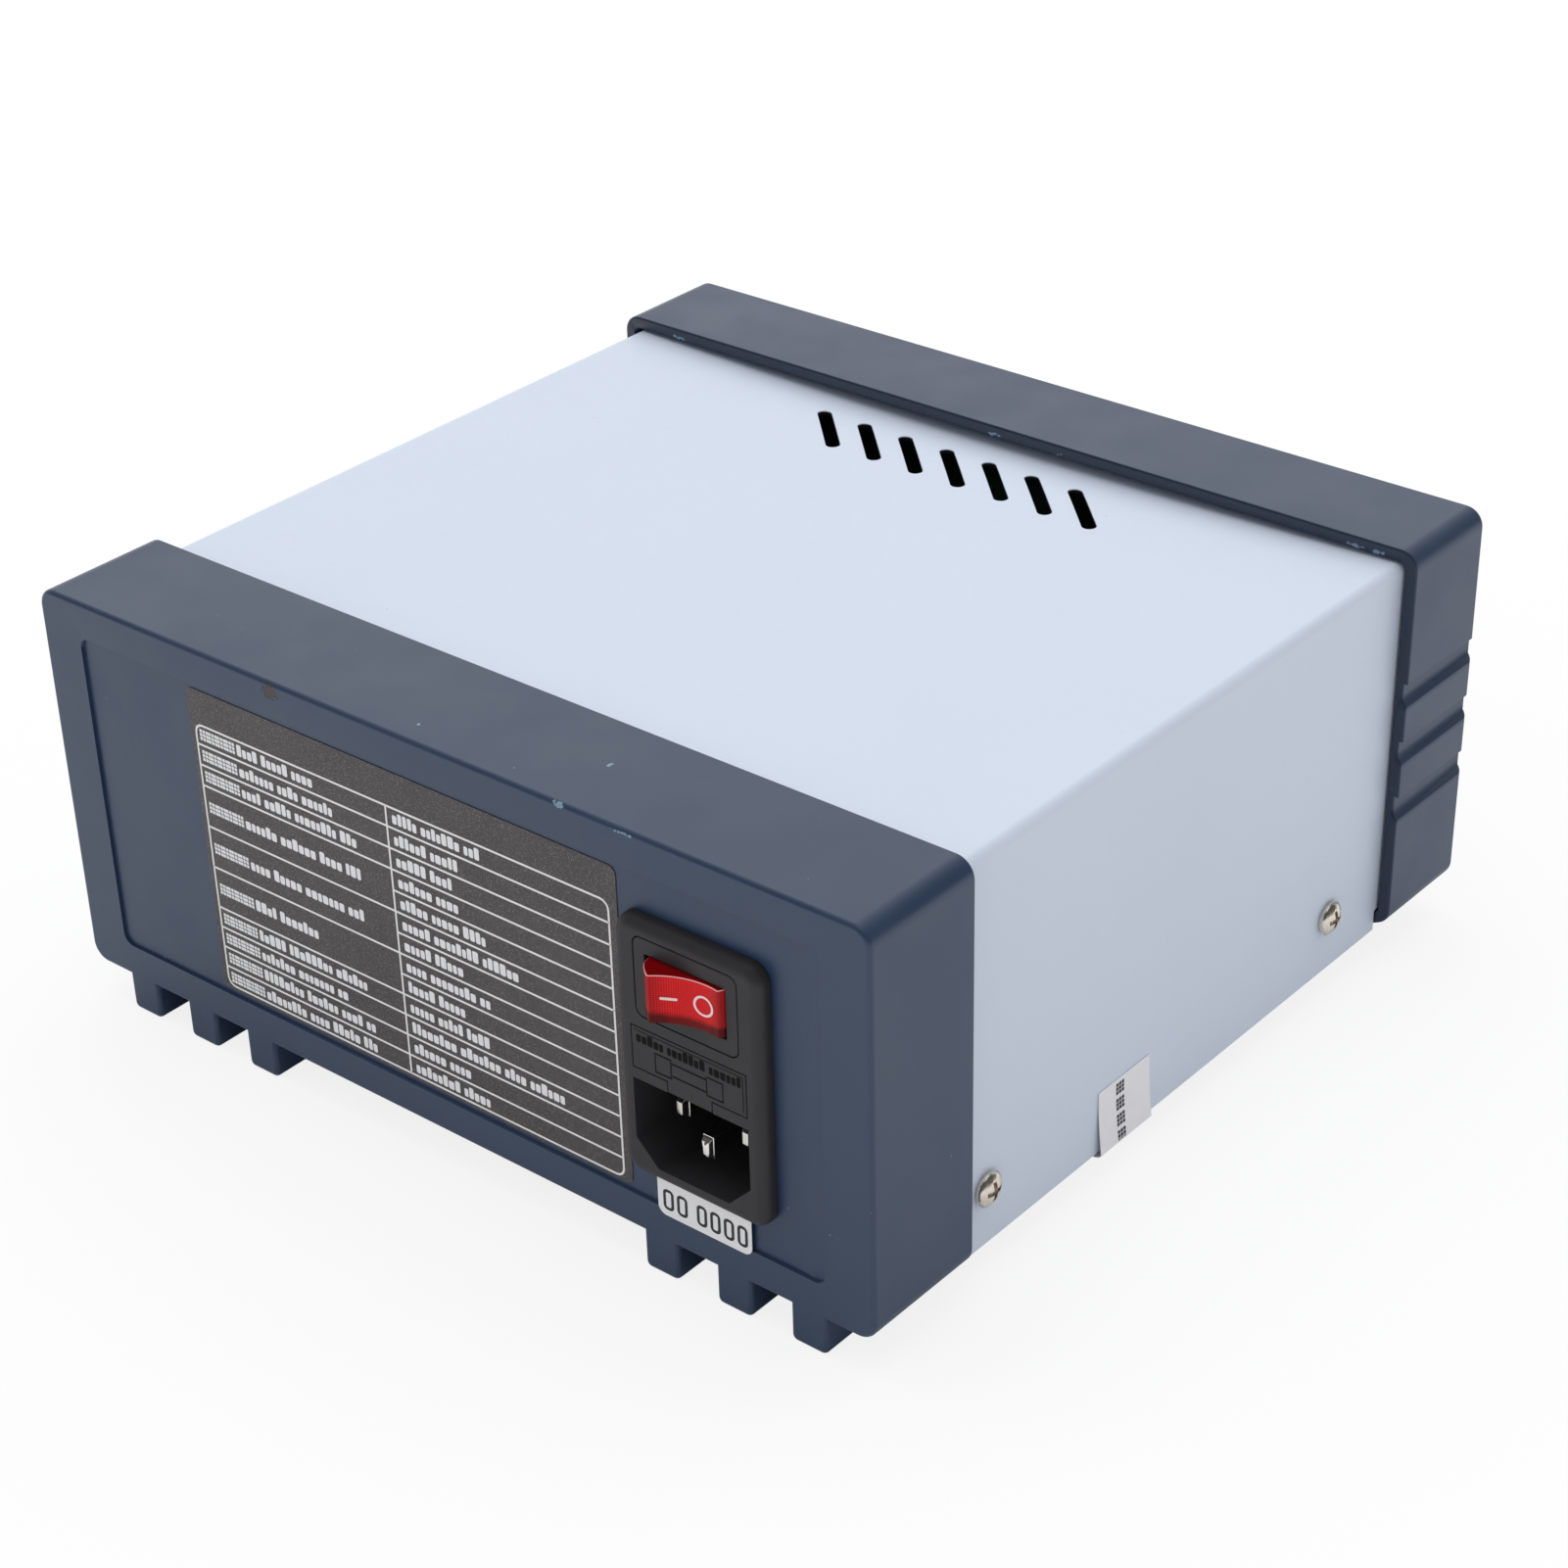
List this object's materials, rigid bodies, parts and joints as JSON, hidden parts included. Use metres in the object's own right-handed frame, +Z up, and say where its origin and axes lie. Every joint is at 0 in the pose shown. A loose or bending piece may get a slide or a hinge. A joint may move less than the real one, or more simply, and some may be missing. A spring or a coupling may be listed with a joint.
{
  "type": "lcr meter",
  "caption": "Bench LCR meter in a two-bezel instrument case with comb feet, a vented steel cover, a fused and switched mains inlet behind, and display, keys and coaxial jacks in front.",
  "frame": {"origin": "centre of the bounding box on the plane that the feet stand on", "axes": "+Z up, -Y is the front with the display and jacks, +Y the rear with the mains inlet, +X to the right seen from the front"},
  "size_m": [0.188, 0.1992, 0.0854],
  "materials": {
    "bezel_plastic": "fine spark-eroded texture",
    "cover_paint": "smooth powder coat, satin",
    "tray_steel": "zinc plated, dull",
    "screw_steel": "nickel plated, cross recess",
    "overlay_film": "fine matt film",
    "label_film": "charcoal film with white rules",
    "sticker_film": "white film, satin",
    "seal_paper": "thin silver-grey destructible film",
    "window_glass": "clear acrylic",
    "frame_steel": "tin plated",
    "lcd_glass": "display glass, grey green",
    "backlight": "milky diffuser",
    "board_green": "solder mask, glossy",
    "board_brown": "paper laminate",
    "chip_black": "moulded epoxy",
    "relay_plastic": "moulded, satin",
    "film_cap": "dipped case, glossy",
    "header_plastic": "natural nylon",
    "transformer": "tape wound over a ferrite core",
    "capacitor": "shrunk sleeve",
    "terminal_green": "moulded, satin",
    "brass": "turned",
    "inlet_plastic": "moulded, satin gloss",
    "rocker_plastic": "translucent red, polished",
    "fuse_glass": "clear tube",
    "fuse_metal": "nickel plated",
    "pin_metal": "nickel plated",
    "tab_metal": "tin plated brass",
    "lead_brown": "soft PVC",
    "lead_green": "soft PVC",
    "lead_dark": "soft PVC",
    "ribbon": "flat PVC ribbon",
    "key_plastic": "soft matt",
    "jack_nickel": "nickel plated, turned",
    "jack_insulator": "white fluoropolymer",
    "contact_gold": "gold plated"
  },
  "bodies": {
    "case": {"front_bezel": "bezel_plastic", "rear_bezel": "bezel_plastic", "top_cover": "cover_paint", "bottom_tray": "tray_steel", "cover_screws": "screw_steel", "bezel_screws": "screw_steel", "front_overlay": "overlay_film", "rating_label": "label_film", "voltage_sticker": "sticker_film", "tamper_seal": "seal_paper", "display_window": "window_glass", "display_frame": "frame_steel", "display_glass": "lcd_glass", "display_backlight": "backlight", "front_board": "board_green", "front_board_screws": "screw_steel", "tact_switches": "chip_black", "jack_shell_1": "jack_nickel", "jack_shell_2": "jack_nickel", "jack_shell_3": "jack_nickel", "jack_shell_4": "jack_nickel", "jack_insulator_1": "jack_insulator", "jack_insulator_2": "jack_insulator", "jack_insulator_3": "jack_insulator", "jack_insulator_4": "jack_insulator", "jack_contact_1": "contact_gold", "jack_contact_2": "contact_gold", "jack_contact_3": "contact_gold", "jack_contact_4": "contact_gold", "jack_washers": "frame_steel", "jack_nuts": "jack_nickel", "main_board": "board_green", "main_chips": "chip_black", "range_relays": "relay_plastic", "film_capacitors": "film_cap", "board_headers": "header_plastic", "power_board": "board_brown", "power_transformer": "transformer", "power_capacitors": "capacitor", "power_terminals": "terminal_green", "board_standoffs": "brass", "board_screws": "screw_steel", "inlet_housing": "inlet_plastic", "switch_frame": "inlet_plastic", "switch_tabs": "tab_metal", "inlet_pins": "pin_metal", "power_leads": "lead_brown", "earth_lead": "lead_green", "jack_leads": "lead_dark", "display_ribbon": "ribbon"},
    "rocker": {"rocker": "rocker_plastic"},
    "fuse_drawer": {"fuse_drawer": "inlet_plastic", "fuse_glass": "fuse_glass", "fuse_caps": "fuse_metal"},
    "key_1": {"key_1": "key_plastic"},
    "key_2": {"key_2": "key_plastic"},
    "key_3": {"key_3": "key_plastic"},
    "key_4": {"key_4": "key_plastic"},
    "key_5": {"key_5": "key_plastic"},
    "key_6": {"key_6": "key_plastic"}
  },
  "joints": [
    {"name": "rocker_hinge", "type": "hinge", "parent": "case", "child": "rocker", "pos_m": [-0.0589, 0.09195, 0.0612], "axis": [0, 0, -1], "range_deg": [0, 32]},
    {"name": "fuse_drawer_slide", "type": "slide", "parent": "case", "child": "fuse_drawer", "axis": [0, 1, 0], "range_m": [0, 0.018]},
    {"name": "key_1_press", "type": "slide", "parent": "case", "child": "key_1", "axis": [0, 1, 0], "range_m": [0, 0.0007], "stiffness_N_per_m": 1500, "springref_m": -0.0002},
    {"name": "key_2_press", "type": "slide", "parent": "case", "child": "key_2", "axis": [0, 1, 0], "range_m": [0, 0.0007], "stiffness_N_per_m": 1500, "springref_m": -0.0002},
    {"name": "key_3_press", "type": "slide", "parent": "case", "child": "key_3", "axis": [0, 1, 0], "range_m": [0, 0.0007], "stiffness_N_per_m": 1500, "springref_m": -0.0002},
    {"name": "key_4_press", "type": "slide", "parent": "case", "child": "key_4", "axis": [0, 1, 0], "range_m": [0, 0.0007], "stiffness_N_per_m": 1500, "springref_m": -0.0002},
    {"name": "key_5_press", "type": "slide", "parent": "case", "child": "key_5", "axis": [0, 1, 0], "range_m": [0, 0.0007], "stiffness_N_per_m": 1500, "springref_m": -0.0002},
    {"name": "key_6_press", "type": "slide", "parent": "case", "child": "key_6", "axis": [0, 1, 0], "range_m": [0, 0.0007], "stiffness_N_per_m": 1500, "springref_m": -0.0002}
  ]
}
